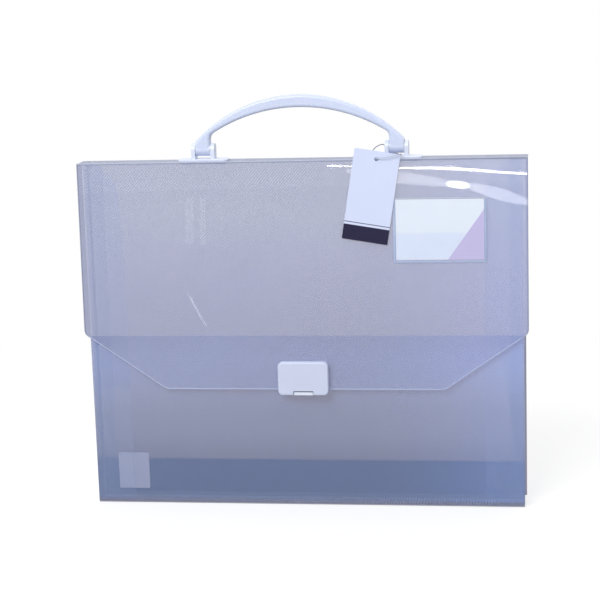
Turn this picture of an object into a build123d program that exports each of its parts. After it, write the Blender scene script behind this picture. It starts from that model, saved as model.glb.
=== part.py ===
"""Plastic carry case for large sheets of paper.

Millimetres. +X is to the viewer's right, +Y goes away from the viewer and +Z is up.
The origin is the centre of the flat base that the case stands on.
"""

from build123d import *
from math import cos, pi, radians, sin, tan
import os

# Case body
sheet = 1.0
body_width = 440.0
body_depth = 28.0
body_height = 354.0
front_overlap = 54.5
back_rim = 2.0
base_bend = 3.0
base_wall_height = 5.0

# Side gussets
front_flange_width = 38.5
back_flange_width = 14.0
flange_cut_width = 24.0
flange_cut_height = 20.0
flange_taper_width = 4.5
flange_taper_height = 74.0

# Lid: top panel and closing flap
lid_overhang = 5.0
flap_length = 231.0
flap_side_length = 174.0
flap_bottom_width = 284.0
flap_lean = 1.15
flap_side_radius = 8.0
flap_bottom_radius = 14.0

# Handle and its brackets
bracket_spacing = 194.0
bracket_length = 50.0
bracket_depth = 18.0
bracket_thickness = 2.2
bracket_end_radius = 4.0
cheek_gap = 15.4
cheek_thickness = 4.0
cheek_depth = 13.0
pivot_height = 11.0
pivot_pin_diameter = 5.0
pivot_pin_length = 3.0
pivot_clearance = 0.05
pivot_end_clearance = 0.3
knuckle_diameter = 12.4
grip_top = 64.3
grip_thickness = 12.4
grip_outer_shoulder = 8.5
grip_inner_shoulder = 14.6
grip_depth = 12.0
grip_edge = 3.0
arm_root_radius = 7.0

# Pegs that hold the brackets
leg_spacing = 34.0
leg_length = 6.0
leg_width = 5.0
leg_clearance = 0.2
leg_head_rim = 1.2
leg_head_thickness = 0.8
backing_length = 46.0
backing_depth = 16.0
backing_thickness = 1.5
backing_end_radius = 3.0

# Latch
latch_width = 51.0
latch_height = 34.0
latch_overhang = 4.6
latch_thickness = 7.0
latch_wall = 1.6
latch_corner_radius = 5.0
latch_edge = 1.4
notch_width = 20.4
notch_height = 4.4
flap_slot_width = 27.0
flap_slot_margin = 2.6
stud_diameter = 3.0
stud_clearance = 0.15
stud_head_diameter = 4.8
stud_head_thickness = 0.7
cover_stud_spacing_x = 38.0
cover_stud_spacing_z = 18.0
plate_thickness = 1.2
plate_corner_radius = 3.0
plate_side_inset = 2.0
plate_top_inset = 0.5
catch_width = 30.0
catch_height = 32.0
catch_centre_rise = 11.5
catch_thickness = 1.5
catch_stud_spacing_x = 22.0
catch_stud_spacing_z = 24.0
tongue_width = 19.0
tongue_thickness = 1.5
tongue_stand_off = 4.3
tongue_hinge_rise = 21.0
tongue_tip_drop = 4.3
knuckle_radius = 1.1
knuckle_clearance = 0.1
hinge_block_height = 4.3
thumb_pad_height = 3.0
thumb_pad_recess = 1.2

# Card pocket and name card
pocket_side_inset = 40.3
pocket_top = 38.1
pocket_width = 91.6
pocket_height = 64.5
pocket_film = 0.25
pocket_weld = 2.2
pocket_corner_radius = 2.0
card_width = 86.8
card_height = 60.0
card_thickness = 0.3
card_clearance = 0.12
card_bottom_gap = 0.8

# Swing tag and its string
tag_width = 45.6
tag_height = 90.4
tag_thickness = 0.4
tag_tilt = 9.4
tag_hole_diameter = 4.0
tag_hole_drop = 7.8
tag_hole_x = 78.0
tag_hole_rise = 0.7
tag_stand_off = 1.4
tag_corner_radius = 1.0
string_diameter = 1.0

# Blank price label inside the back
label_width = 32.6
label_height = 38.7
label_thickness = 0.1
label_side_inset = 17.7
label_centre_height = 27.0
label_corner_radius = 1.5

# Places worked out from the sizes above
lid_width = body_width + 2 * lid_overhang
closed_edge_height = body_height - flap_length
front_height = closed_edge_height + front_overlap
latch_top = flap_length + latch_overhang - latch_height
catch_centre_height = closed_edge_height + catch_centre_rise
tongue_hinge_height = closed_edge_height + tongue_hinge_rise
tongue_tip_height = closed_edge_height - tongue_tip_drop
pocket_centre_x = (lid_width - pocket_width) / 2 - pocket_side_inset
label_centre_x = label_side_inset - back_rim - (body_width - label_width) / 2
front_face = -body_depth / 2
back_face = body_depth / 2
top_underside = body_height - sheet
flap_outside = sheet
pivot_z = body_height + pivot_height
backing_underside = top_underside - backing_thickness
bracket_centres = (("left", -bracket_spacing / 2), ("right", bracket_spacing / 2))

# The front plane has its local Z towards the viewer.
front_plane = Plane(origin=(0, front_face, 0), x_dir=(1, 0, 0), z_dir=(0, -1, 0))

# The flap plane lies on the flap's inner face. Its origin is on the hinge line, and local Y goes up the flap.
flap_plane = Plane(
    origin=(0, front_face, body_height),
    x_dir=(1, 0, 0),
    z_dir=(0, -cos(radians(flap_lean)), sin(radians(flap_lean))),
)

parts_folder = "parts"
os.makedirs(parts_folder, exist_ok=True)


def save(piece, name):
    """Label a finished piece and write it as a STEP file of the same name."""
    piece.label = name
    export_step(piece, f"{parts_folder}/{name}.step")


# Base: a shallow channel with rounded bends, which the front and back panels stand in line with
with BuildPart() as bottom_panel:
    with BuildSketch(Plane.YZ.offset(-body_width / 2)) as channel:
        with Locations((0, base_wall_height / 2)):
            Rectangle(body_depth, base_wall_height)
        fillet(channel.vertices().group_by(Axis.Y)[0], base_bend)
    extrude(amount=body_width)
    with BuildSketch(Plane.YZ.offset(-body_width / 2)) as hollow:
        with Locations((0, (base_wall_height + sheet) / 2)):
            Rectangle(body_depth - 2 * sheet, base_wall_height - sheet)
        fillet(hollow.vertices().group_by(Axis.Y)[0], base_bend - sheet)
    extrude(amount=body_width, mode=Mode.SUBTRACT)
save(bottom_panel.part, "bottom_panel")

# Back: a plain sheet that stands a little proud of the gussets at each side
with BuildPart() as back_panel:
    with BuildSketch(Plane.XZ.offset(-back_face)):
        with Locations((0, (base_wall_height + top_underside) / 2)):
            Rectangle(body_width + 2 * back_rim, top_underside - base_wall_height)
    extrude(amount=sheet)
save(back_panel.part, "back_panel")

# Front: a half-height sheet with round holes for the catch's studs
catch_stud_grid = [
    (x, catch_centre_height + z)
    for x in (-catch_stud_spacing_x / 2, catch_stud_spacing_x / 2)
    for z in (-catch_stud_spacing_z / 2, catch_stud_spacing_z / 2)
]
with BuildPart() as front_panel:
    with BuildSketch(front_plane.offset(-sheet)):
        with Locations((0, (base_wall_height + front_height) / 2)):
            Rectangle(body_width, front_height - base_wall_height)
        with Locations(*catch_stud_grid):
            Circle(stud_diameter / 2 + stud_clearance, mode=Mode.SUBTRACT)
    extrude(amount=sheet)
save(front_panel.part, "front_panel")

# Gussets: a side wall with a wide front flange, cut away at its top, and a narrow back flange
wall_depth = body_depth - 2 * sheet
flange_bottom = base_wall_height
for side, sign in (("left", -1), ("right", 1)):
    wall_x = sign * body_width / 2
    front_edge_x = sign * (body_width / 2 - front_flange_width)
    taper_edge_x = front_edge_x + sign * flange_taper_width
    cut_edge_x = front_edge_x + sign * flange_cut_width
    back_edge_x = sign * (body_width / 2 - back_flange_width)
    with BuildPart() as gusset:
        with BuildSketch(Plane.YZ.offset(wall_x)) as side_wall:
            with Locations((0, (sheet + top_underside) / 2)):
                Rectangle(wall_depth, top_underside - sheet)
            fillet(side_wall.vertices().group_by(Axis.Y)[0], base_bend - sheet)
        extrude(amount=-sign * sheet)
        with BuildSketch(front_plane.offset(-2 * sheet)):
            with BuildLine():
                Polyline(
                    (wall_x, flange_bottom),
                    (front_edge_x, flange_bottom),
                    (front_edge_x, top_underside - flange_taper_height),
                    (taper_edge_x, top_underside - flange_cut_height),
                    (cut_edge_x, top_underside),
                    (wall_x, top_underside),
                    close=True,
                )
            make_face()
        extrude(amount=sheet)
        with BuildSketch(Plane.XZ.offset(-(back_face - sheet))):
            with Locations(((wall_x + back_edge_x) / 2, (flange_bottom + top_underside) / 2)):
                Rectangle(back_flange_width, top_underside - flange_bottom)
        extrude(amount=sheet)
    save(gusset.part, f"{side}_gusset")

# Top panel: the narrow lid strip, with slots for the bracket legs
leg_places = [
    (centre + offset, 0)
    for _, centre in bracket_centres
    for offset in (-leg_spacing / 2, leg_spacing / 2)
]
with BuildPart() as top_panel:
    with BuildSketch(Plane.XY.offset(top_underside)):
        Rectangle(lid_width, body_depth)
        with Locations(*leg_places):
            Rectangle(leg_length + 2 * leg_clearance, leg_width + 2 * leg_clearance, mode=Mode.SUBTRACT)
    extrude(amount=sheet)
save(top_panel.part, "top_panel")

# Closing flap: its lower corners are cut off at a slant, and a slot lets the latch's tongue in
cover_centre = -(latch_top + latch_height / 2)
cover_stud_grid = [
    (x, cover_centre + y)
    for x in (-cover_stud_spacing_x / 2, cover_stud_spacing_x / 2)
    for y in (-cover_stud_spacing_z / 2, cover_stud_spacing_z / 2)
]
slot_top = -(latch_top + flap_slot_margin)
with BuildPart() as closing_flap:
    with BuildSketch(flap_plane):
        with BuildLine():
            FilletPolyline(
                (-lid_width / 2, 0),
                (-lid_width / 2, -flap_side_length),
                (-flap_bottom_width / 2, -flap_length),
                (flap_bottom_width / 2, -flap_length),
                (lid_width / 2, -flap_side_length),
                (lid_width / 2, 0),
                radius=[flap_side_radius, flap_bottom_radius, flap_bottom_radius, flap_side_radius],
            )
            Line((lid_width / 2, 0), (-lid_width / 2, 0))
        make_face()
        with Locations((0, (slot_top - flap_length) / 2)):
            Rectangle(flap_slot_width, slot_top + flap_length, mode=Mode.SUBTRACT)
        with Locations(*cover_stud_grid):
            Circle(stud_diameter / 2 + stud_clearance, mode=Mode.SUBTRACT)
    extrude(amount=sheet)
save(closing_flap.part, "closing_flap")

# Handle brackets: a foot plate, two round-topped cheeks with blind bores, and two legs with spread heads
cheek_top = pivot_z + cheek_depth / 2
for side, centre in bracket_centres:
    with BuildPart() as bracket:
        with BuildSketch(Plane.XY.offset(body_height)):
            with Locations((centre, 0)):
                RectangleRounded(bracket_length, bracket_depth, bracket_end_radius)
        extrude(amount=bracket_thickness)
        chamfer(bracket.edges().group_by(Axis.Z)[-1], bracket_thickness / 3)
        for sign in (-1, 1):
            inner_x = centre + sign * cheek_gap / 2
            with BuildSketch(Plane.YZ.offset(inner_x)):
                with Locations((0, pivot_z)):
                    Circle(cheek_depth / 2)
                with Locations((0, (body_height + pivot_z) / 2)):
                    Rectangle(cheek_depth, pivot_z - body_height)
            extrude(amount=sign * cheek_thickness)
            with BuildSketch(Plane.YZ.offset(inner_x)):
                with Locations((0, pivot_z)):
                    Circle(pivot_pin_diameter / 2 + pivot_clearance)
            extrude(amount=sign * pivot_pin_length, mode=Mode.SUBTRACT)
        with BuildSketch(Plane.XY.offset(backing_underside)):
            with Locations(*[(centre + offset, 0) for offset in (-leg_spacing / 2, leg_spacing / 2)]):
                Rectangle(leg_length, leg_width)
        extrude(amount=body_height - backing_underside)
        with BuildSketch(Plane.XY.offset(backing_underside)):
            with Locations(*[(centre + offset, 0) for offset in (-leg_spacing / 2, leg_spacing / 2)]):
                Rectangle(leg_length + 2 * leg_head_rim, leg_width + 2 * leg_head_rim)
        extrude(amount=-leg_head_thickness)
    save(bracket.part, f"{side}_handle_bracket")

# Backing plates: they spread the load of the brackets under the top panel
for side, centre in bracket_centres:
    with BuildPart() as backing_plate:
        with BuildSketch(Plane.XY.offset(backing_underside)):
            with Locations((centre, 0)):
                RectangleRounded(backing_length, backing_depth, backing_end_radius)
            with Locations(*[(centre + offset, 0) for offset in (-leg_spacing / 2, leg_spacing / 2)]):
                Rectangle(leg_length + 2 * leg_clearance, leg_width + 2 * leg_clearance, mode=Mode.SUBTRACT)
        extrude(amount=backing_thickness)
    save(backing_plate.part, f"{side}_bracket_backing_plate")

# Handle: a bowed grip between two arcs, slimmer towards its ends, with a round knuckle and pins at each foot
knuckle_width = cheek_gap - 2 * pivot_end_clearance
grip_apex = body_height + grip_top
arm_outer_x = bracket_spacing / 2 + knuckle_width / 2
arm_inner_x = bracket_spacing / 2 - knuckle_width / 2
outer_end_z = pivot_z + grip_outer_shoulder
inner_apex = grip_apex - grip_thickness
inner_end_z = pivot_z + grip_inner_shoulder
with BuildPart() as handle:
    with BuildSketch(Plane.XZ.offset(-grip_depth / 2)) as side_view:
        with BuildLine():
            ThreePointArc((-arm_outer_x, outer_end_z), (0, grip_apex), (arm_outer_x, outer_end_z))
            Line((arm_outer_x, outer_end_z), (arm_outer_x, pivot_z))
            Line((arm_outer_x, pivot_z), (arm_inner_x, pivot_z))
            Line((arm_inner_x, pivot_z), (arm_inner_x, inner_end_z))
            ThreePointArc((arm_inner_x, inner_end_z), (0, inner_apex), (-arm_inner_x, inner_end_z))
            Line((-arm_inner_x, inner_end_z), (-arm_inner_x, pivot_z))
            Line((-arm_inner_x, pivot_z), (-arm_outer_x, pivot_z))
            Line((-arm_outer_x, pivot_z), (-arm_outer_x, outer_end_z))
        make_face()
        inner_corners = side_view.vertices().filter_by(lambda v: abs(v.Y - inner_end_z) < sheet)
        fillet(inner_corners, arm_root_radius)
    extrude(amount=grip_depth)
    side_faces = handle.faces().filter_by(Axis.Y)
    fillet(side_faces.edges().filter_by(lambda e: e.center().Z > pivot_z + knuckle_diameter / 2), grip_edge)
    for _, centre in bracket_centres:
        with BuildSketch(Plane.YZ.offset(centre - knuckle_width / 2)):
            with Locations((0, pivot_z)):
                Circle(knuckle_diameter / 2)
        extrude(amount=knuckle_width)
        with BuildSketch(Plane.YZ.offset(centre - knuckle_width / 2 - pivot_pin_length)):
            with Locations((0, pivot_z)):
                Circle(pivot_pin_diameter / 2)
        extrude(amount=knuckle_width + 2 * pivot_pin_length)
save(handle.part, "handle")

# Latch cover: a hollow shell on the flap, with a notch for the tongue and four studs through the flap
cover_depth = latch_thickness - latch_wall
with BuildPart() as latch_cover:
    with BuildSketch(flap_plane.offset(flap_outside)):
        with Locations((0, cover_centre)):
            RectangleRounded(latch_width, latch_height, latch_corner_radius)
    extrude(amount=latch_thickness)
    fillet(latch_cover.faces().sort_by(Axis.Y)[0].edges(), latch_edge)
    with BuildSketch(flap_plane.offset(flap_outside)):
        with Locations((0, cover_centre)):
            RectangleRounded(
                latch_width - 2 * latch_wall,
                latch_height - 2 * latch_wall,
                latch_corner_radius - latch_wall,
            )
    extrude(amount=cover_depth, mode=Mode.SUBTRACT)
    with BuildSketch(flap_plane.offset(flap_outside)):
        with Locations((0, cover_centre - latch_height / 2 + notch_height / 2)):
            Rectangle(notch_width, notch_height)
    extrude(amount=latch_thickness, mode=Mode.SUBTRACT)
    with BuildSketch(flap_plane.offset(flap_outside + cover_depth)):
        with Locations(*cover_stud_grid):
            Circle(stud_diameter / 2)
    extrude(amount=-(cover_depth + sheet + plate_thickness))
    with BuildSketch(flap_plane.offset(-plate_thickness)):
        with Locations(*cover_stud_grid):
            Circle(stud_head_diameter / 2)
    extrude(amount=-stud_head_thickness)
save(latch_cover.part, "latch_cover")

# Latch back plate: a U-shaped plate on the flap's inner face, round the slot
plate_width = latch_width - 2 * plate_side_inset
plate_height = flap_length - latch_top - plate_top_inset
with BuildPart() as latch_back_plate:
    with BuildSketch(flap_plane.offset(-plate_thickness)):
        with Locations((0, plate_height / 2 - flap_length)):
            RectangleRounded(plate_width, plate_height, plate_corner_radius)
        with Locations((0, (slot_top - flap_length) / 2)):
            Rectangle(flap_slot_width, slot_top + flap_length, mode=Mode.SUBTRACT)
        with Locations(*cover_stud_grid):
            Circle(stud_diameter / 2 + stud_clearance, mode=Mode.SUBTRACT)
    extrude(amount=plate_thickness)
save(latch_back_plate.part, "latch_back_plate")

# Catch base: a plate on the front panel with a hinge block for the tongue and four studs through the panel
tongue_middle = tongue_stand_off + tongue_thickness / 2
hinge_block_top = tongue_middle + tongue_thickness
hinge_axis_y = front_face - tongue_middle
with BuildPart() as catch_base:
    with BuildSketch(front_plane):
        with Locations((0, catch_centre_height)):
            RectangleRounded(catch_width, catch_height, plate_corner_radius)
    extrude(amount=catch_thickness)
    with BuildSketch(front_plane):
        with Locations((0, tongue_hinge_height + hinge_block_height / 2)):
            Rectangle(tongue_width, hinge_block_height)
    extrude(amount=hinge_block_top)
    with BuildSketch(Plane.YZ.offset(-tongue_width / 2)):
        with Locations((hinge_axis_y, tongue_hinge_height)):
            Circle(knuckle_radius + knuckle_clearance)
    extrude(amount=tongue_width, mode=Mode.SUBTRACT)
    with BuildSketch(front_plane):
        with Locations(*catch_stud_grid):
            Circle(stud_diameter / 2)
    extrude(amount=-(sheet + plate_thickness))
    with BuildSketch(front_plane.offset(-(sheet + plate_thickness))):
        with Locations(*catch_stud_grid):
            Circle(stud_head_diameter / 2)
    extrude(amount=-stud_head_thickness)
save(catch_base.part, "catch_base")

# Catch back plate: it spreads the load of the catch inside the front panel
with BuildPart() as catch_back_plate:
    with BuildSketch(front_plane.offset(-sheet)):
        with Locations((0, catch_centre_height)):
            RectangleRounded(catch_width, catch_height, plate_corner_radius)
        with Locations(*catch_stud_grid):
            Circle(stud_diameter / 2 + stud_clearance, mode=Mode.SUBTRACT)
    extrude(amount=-plate_thickness)
save(catch_back_plate.part, "catch_back_plate")

# Latch tongue: a springy strip that turns at its rounded top end, with a thumb pad in the cover's notch
pad_reach = flap_outside + latch_thickness - thumb_pad_recess + (body_height - tongue_tip_height) * tan(
    radians(flap_lean)
)
with BuildPart() as latch_tongue:
    with BuildSketch(front_plane.offset(tongue_stand_off)):
        with Locations((0, (tongue_tip_height + tongue_hinge_height) / 2)):
            Rectangle(tongue_width, tongue_hinge_height - tongue_tip_height)
    extrude(amount=tongue_thickness)
    with BuildSketch(Plane.YZ.offset(-tongue_width / 2)):
        with Locations((hinge_axis_y, tongue_hinge_height)):
            Circle(knuckle_radius)
    extrude(amount=tongue_width)
    with BuildSketch(front_plane.offset(tongue_stand_off)):
        with Locations((0, tongue_tip_height + thumb_pad_height / 2)):
            Rectangle(tongue_width, thumb_pad_height)
    extrude(amount=pad_reach - tongue_stand_off)
save(latch_tongue.part, "latch_tongue")

# Card pocket: clear film welded to the flap on three sides and open at its top
slot_depth = card_thickness + 2 * card_clearance
pocket_depth = slot_depth + pocket_film
pocket_centre = (pocket_centre_x, -(pocket_top + pocket_height / 2))
with BuildPart() as card_pocket:
    with BuildSketch(flap_plane.offset(flap_outside)):
        with Locations(pocket_centre):
            RectangleRounded(pocket_width, pocket_height, pocket_corner_radius)
    extrude(amount=pocket_depth)
    with BuildSketch(flap_plane.offset(flap_outside)):
        with Locations((pocket_centre[0], pocket_centre[1] + pocket_weld)):
            Rectangle(pocket_width - 2 * pocket_weld, pocket_height)
    extrude(amount=slot_depth, mode=Mode.SUBTRACT)
save(card_pocket.part, "card_pocket")

# Name card: a blank card that slides in the pocket
card_bottom = -(pocket_top + pocket_height - pocket_weld - card_bottom_gap)
with BuildPart() as name_card:
    with BuildSketch(flap_plane.offset(flap_outside + card_clearance)):
        with Locations((pocket_centre_x, card_bottom + card_height / 2)):
            Rectangle(card_width, card_height)
    extrude(amount=card_thickness)
save(name_card.part, "name_card")

# Swing tag: a blank card tag that hangs from its string in front of the flap
tag_plane = flap_plane.offset(flap_outside + tag_stand_off) * Location(
    (tag_hole_x, tag_hole_rise, 0), (0, 0, -tag_tilt)
)
with BuildPart() as swing_tag:
    with BuildSketch(tag_plane):
        with Locations((0, tag_hole_drop - tag_height / 2)):
            RectangleRounded(tag_width, tag_height, tag_corner_radius)
        Circle(tag_hole_diameter / 2, mode=Mode.SUBTRACT)
    extrude(amount=tag_thickness)
save(swing_tag.part, "swing_tag")

# Blank label on the inside of the back panel
with BuildPart() as price_label:
    with BuildSketch(Plane.XZ.offset(sheet - back_face)):
        with Locations((label_centre_x, label_centre_height)):
            RectangleRounded(label_width, label_height, label_corner_radius)
    extrude(amount=label_thickness)
save(price_label.part, "price_label")

# Tag string: one loop of thread from the tag's hole, under the right knuckle, round the inner cheek and back
string_route = [
    (78.3, -16.75, 355.2),
    (79.3, -19.2, 355.5),
    (88.5, -20.6, 356.6),
    (97.0, -19.2, 359.2),
    (98.6, -15.0, 360.9),
    (98.0, -7.5, 358.0),
    (97.2, 3.5, 357.35),
    (95.6, 12.6, 358.6),
    (89.6, 14.2, 363.4),
    (84.0, 9.4, 366.6),
    (79.4, -1.0, 366.8),
    (75.6, -10.6, 364.2),
    (75.4, -13.6, 359.4),
    (76.6, -14.7, 356.2),
    (77.7, -16.45, 355.2),
]
runs = [Vector(*b) - Vector(*a) for a, b in zip(string_route, string_route[1:])]
string_radii = [
    0.45 * min(before.length, after.length) / tan(radians(before.get_angle(after)) / 2)
    for before, after in zip(runs, runs[1:])
]
print("string radii in mm:", [round(r, 1) for r in string_radii])
print("string turns in degrees:", [round(a.get_angle(b)) for a, b in zip(runs, runs[1:])])
with BuildPart() as tag_string:
    with BuildLine() as string_line:
        FilletPolyline(*string_route, radius=string_radii)
    with BuildSketch(Plane(origin=string_route[0], z_dir=runs[0])):
        Circle(string_diameter / 2)
    sweep()
string_length = sum(edge.length for edge in string_line.edges())
print("string length in mm:", round(string_length, 1))
string_section = pi * string_diameter**2 / 4
print("string volume and section times length:", tag_string.part.volume, string_length * string_section)
save(tag_string.part, "tag_string")
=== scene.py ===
"""Visual model of a translucent plastic carry case, laid out as a Blender add-on.

Metres. +X is to the viewer's right, +Y goes away from the viewer and +Z is up.
The origin is the centre of the flat base that the case stands on.
"""

import math

import bmesh
import bpy
from bpy.props import FloatProperty, FloatVectorProperty, PointerProperty
from mathutils import Matrix, Vector


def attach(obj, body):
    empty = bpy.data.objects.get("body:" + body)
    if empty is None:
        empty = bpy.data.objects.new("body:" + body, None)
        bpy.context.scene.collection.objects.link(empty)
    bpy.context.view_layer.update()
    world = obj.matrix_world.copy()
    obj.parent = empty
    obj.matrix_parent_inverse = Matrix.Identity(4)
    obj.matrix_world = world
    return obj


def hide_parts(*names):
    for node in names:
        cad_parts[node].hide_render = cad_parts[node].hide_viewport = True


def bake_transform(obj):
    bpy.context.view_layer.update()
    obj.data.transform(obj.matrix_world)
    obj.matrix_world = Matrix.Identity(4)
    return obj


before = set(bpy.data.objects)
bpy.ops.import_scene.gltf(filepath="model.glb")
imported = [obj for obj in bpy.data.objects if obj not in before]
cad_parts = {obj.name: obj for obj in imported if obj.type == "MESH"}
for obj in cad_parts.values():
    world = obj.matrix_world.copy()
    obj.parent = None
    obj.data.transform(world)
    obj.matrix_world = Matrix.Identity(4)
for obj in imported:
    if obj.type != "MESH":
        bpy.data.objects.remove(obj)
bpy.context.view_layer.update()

bl_info = {
    "name": "Plastic Carry Case",
    "version": (1, 0, 0),
    "blender": (4, 5, 0),
    "location": "View3D > Sidebar > Carry Case",
    "description": "Dresses a translucent carry case with its sheets, handle, latch, pocket, tag and studio",
    "category": "Object",
}

# The case's front face and the height of its top, which meet in the flap's hinge line
FRONT_FACE = -0.014
BODY_HEIGHT = 0.354

# Beyond this distance from the middle a gusset's face belongs to its wall
GUSSET_WALL_SIDE = 0.2188

# Painted light: how much the sheets' colour grows towards the right side, in red, green and blue, for the
# bluish light that falls from that side
RIGHT_PAINTED_LIGHT = (1.12, 1.15, 1.25)
RIGHT_PAINTED_LIGHT_FRONT = (1.22, 1.28, 1.34)
RIGHT_PAINTED_LIGHT_START = 0.05
RIGHT_PAINTED_LIGHT_END = 0.225

# The height of the slanted lines, from 0 to 1, at which their gloss starts and is full, the share of gloss
# that their grooves keep, and how much more haze a crest has than a groove
CREST_START = 0.45
CREST_END = 0.7
GROOVE_GLOSS = 0.06
LINE_HAZE = 0.05

# How far the clouds in a sheet shift its roughness and its haze, the least share that a face seen at a
# grazing angle counts as square on, and the roughness of the gloss
CLOUD_SHIFT = 0.06
GRAZING_SHARE = 0.25
GLOSS_ROUGHNESS = 0.015

# Painted light: two heights over the flap's lower edge, and the factor by which a sheet's colour grows from
# one to the other, to lift the shade where the flap overlaps the front panel
FLAP_PAINTED_LIGHT = (0.062, 0.027, 1.12)
FRONT_PAINTED_LIGHT = (-0.033, 0.037, 1.4)

# The cut edges' rims: how far under the fold the flap's rim starts, how much thicker the rims are than the
# sheet, where the base's rim lies, and between which heights over its slanted corners the flap's rim dims
RIM_START = 0.001
FLAP_RIM_SWELL = 1.06
BASE_RIM_SWELL = 1.04
BASE_RIM_SIDE = 0.216
BASE_RIM_FACE = -0.013
RIM_DIM_START = -0.006
RIM_DIM_END = 0.004

# Where the lid's two folds lie, towards the back and up, and how far short of the lid's ends they stop
FRONT_FOLD_PLACE = (-0.0142, 0.3536)
BACK_FOLD_PLACE = (0.0135, 0.3535)
FOLD_END_GAP = 0.0002

# The pocket's weld: the reach of its rounded corners, its thickness as a share of its width, and how deep
# it sits in the film. Then the radius of the mouth's lip and how far under the film's upper edge it lies
WELD_CORNER = 0.002
WELD_FLATNESS = 0.16
WELD_SINK = 0.00004
LIP_RADIUS = 0.0002
LIP_DROP = 0.0003

# The card's tinted corner: how far under the card's upper edge it starts on the right, and how far left it
# reaches. Then the heights over the card's lower edge between which the card turns lighter, a painted
# reflection of the pocket film's sheen
CORNER_DROP = 0.0104
CORNER_REACH = 0.0359
CARD_PAINTED_SHEEN_START = 0.024
CARD_PAINTED_SHEEN_END = 0.029

# How far the tag's front lies off the flap's face, and the painted glow that the blank label shows of its
# own, which lifts it out of the sheets' shade
TAG_STAND_OFF = 0.0024
LABEL_PAINTED_GLOW_COLOUR = (0.95, 0.95, 1.0, 1.0)
LABEL_PAINTED_GLOW = 0.09

# The floor's radius, its light where the camera sees it, and the distances between which it turns white
FLOOR_RADIUS = 4.0
FLOOR_GLOW = 0.58
FLOOR_FADE_START = 0.35
FLOOR_FADE_END = 0.9

# What shows through the sheets, at how many times the table edge's distance from the middle, and what
# shows through a single sheet
BEHIND_SHADES = (
    (1.0, (0.13, 0.155, 0.19)),
    (1.02, (0.44, 0.38, 0.34)),
    (1.7, (0.61, 0.56, 0.57)),
    (3.0, (0.73, 0.67, 0.70)),
    (6.0, (0.76, 0.70, 0.76)),
    (8.5, (0.84, 0.77, 0.86)),
    (14.0, (1.0, 0.98, 1.0)),
)
SINGLE_SHEET_SHADE = (0.38, 0.37, 0.44)

# The camera that the photograph was taken with
CAMERA_PLACE = (0.2413, -1.6783, 0.5342)
CAMERA_YAW = 0.1453
CAMERA_PITCH = -0.1881
CAMERA_ROLL = -0.0312


# Settings


def length(name, description, default):
    return FloatProperty(name=name, description=description, default=default, unit="LENGTH", precision=4)


def colour(name, description, default):
    return FloatVectorProperty(
        name=name, description=description, default=default, subtype="COLOR", size=3, min=0.0, max=1.0
    )


def share(name, description, default):
    return FloatProperty(
        name=name, description=description, default=default, min=0.0, max=1.0, subtype="FACTOR"
    )


def amount(name, description, default, least=0.0):
    return FloatProperty(name=name, description=description, default=default, min=least)


def angle(name, description, degrees):
    return FloatProperty(
        name=name, description=description, default=math.radians(degrees), subtype="ANGLE"
    )


def flap_place(name, description, default):
    return FloatVectorProperty(
        name=name, description=description, default=default, size=2, subtype="TRANSLATION", unit="LENGTH"
    )


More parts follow.
